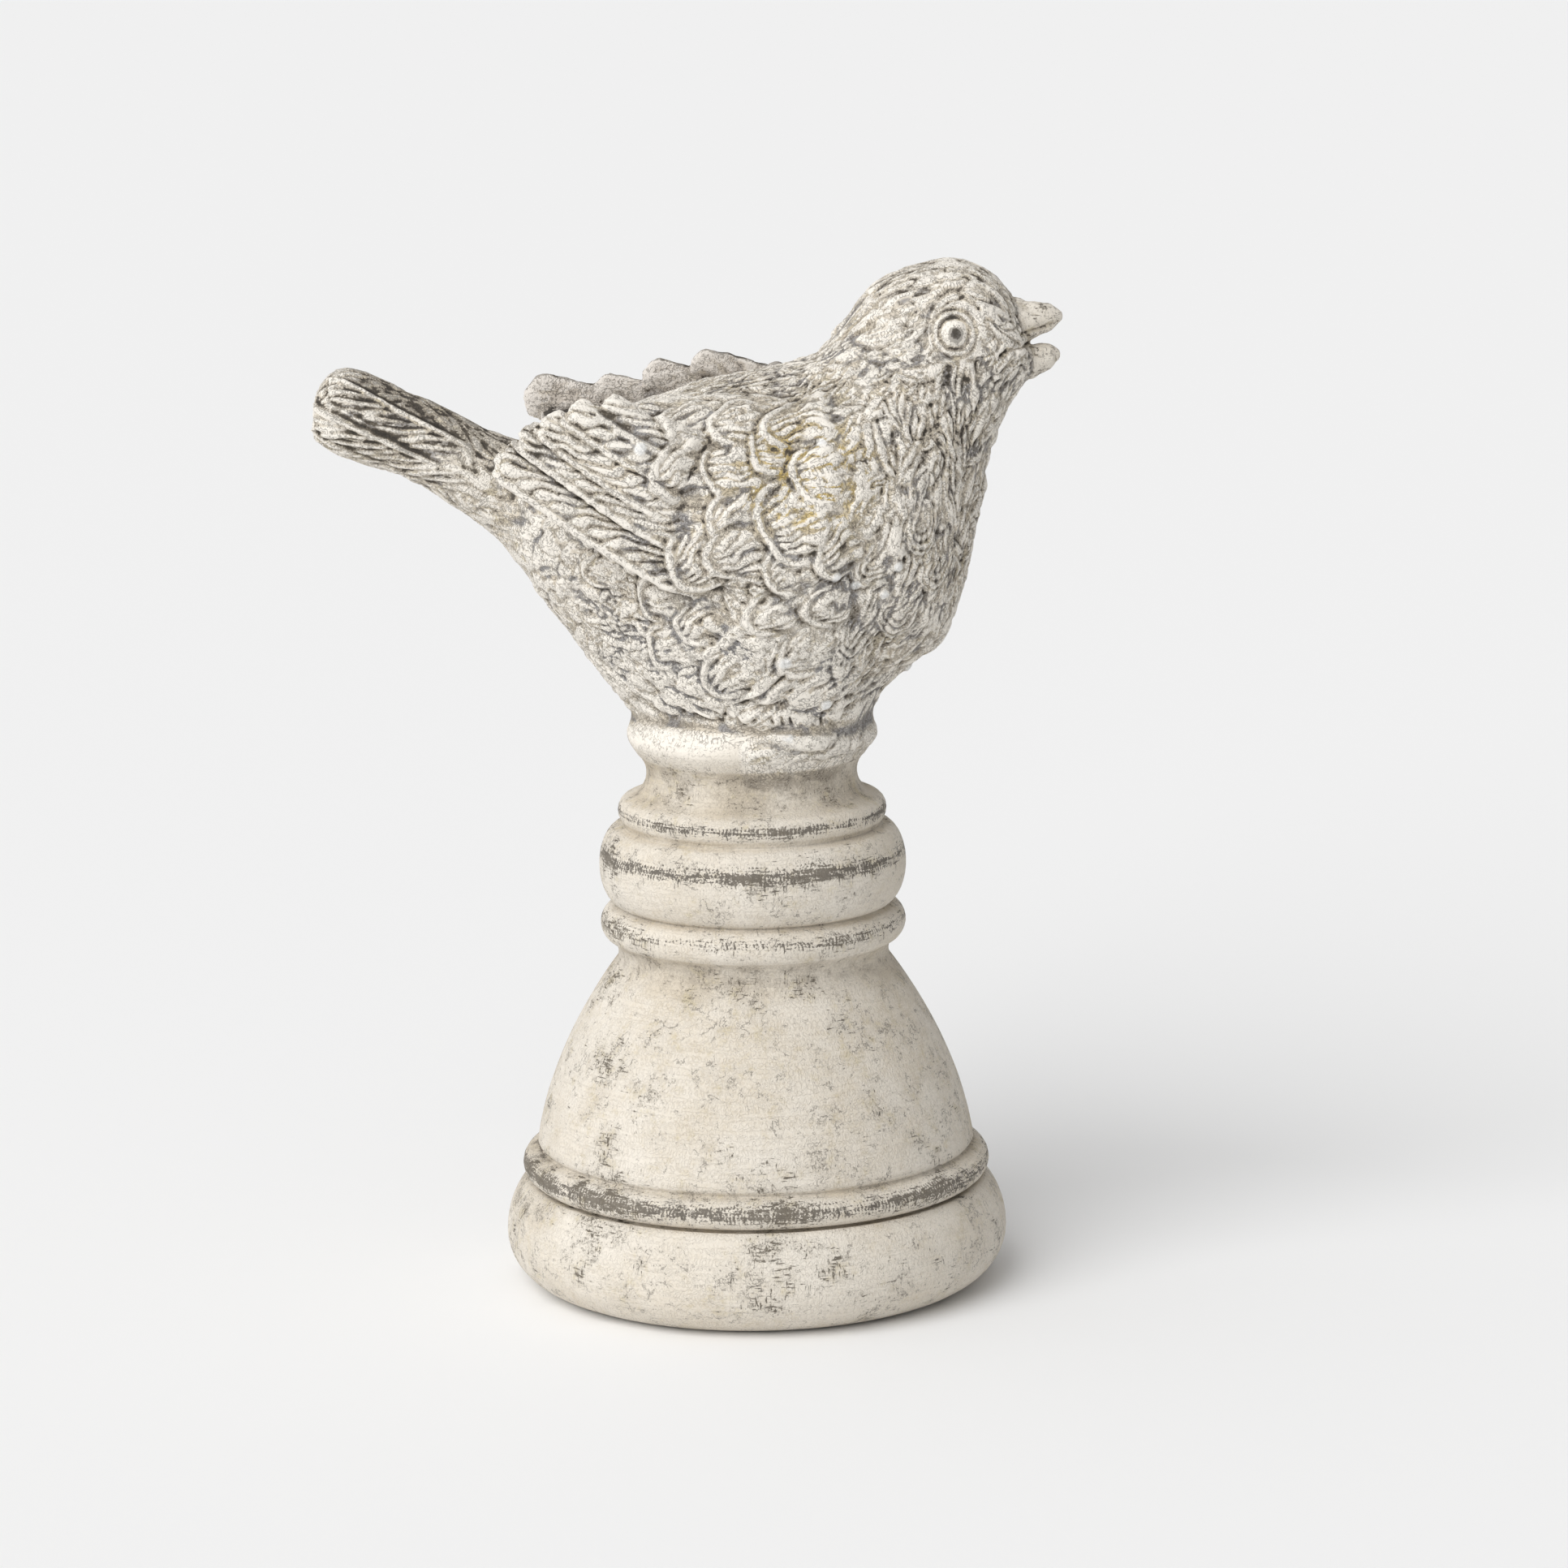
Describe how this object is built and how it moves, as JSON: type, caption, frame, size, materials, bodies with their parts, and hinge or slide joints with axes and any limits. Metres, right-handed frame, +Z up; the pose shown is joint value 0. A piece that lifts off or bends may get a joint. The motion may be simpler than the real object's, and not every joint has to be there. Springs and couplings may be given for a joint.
{
  "type": "resin bird statue",
  "caption": "Cast songbird with open beak, cocked tail and half-folded wings on a turned pedestal that widens to a round base; a freestanding ornament.",
  "frame": {"origin": "centre of the round flat underside, on the pedestal's axis", "axes": "+Z up along the pedestal's axis, +X towards the beak, -X towards the tail, -Y the bird's right side"},
  "size_m": [0.236, 0.1614, 0.3307],
  "materials": {
    "bird_statue": "matte cast resin with a rubbed, whitewashed stone finish"
  },
  "bodies": {
    "root": {"bird_statue": "bird_statue"}
  },
  "joints": []
}
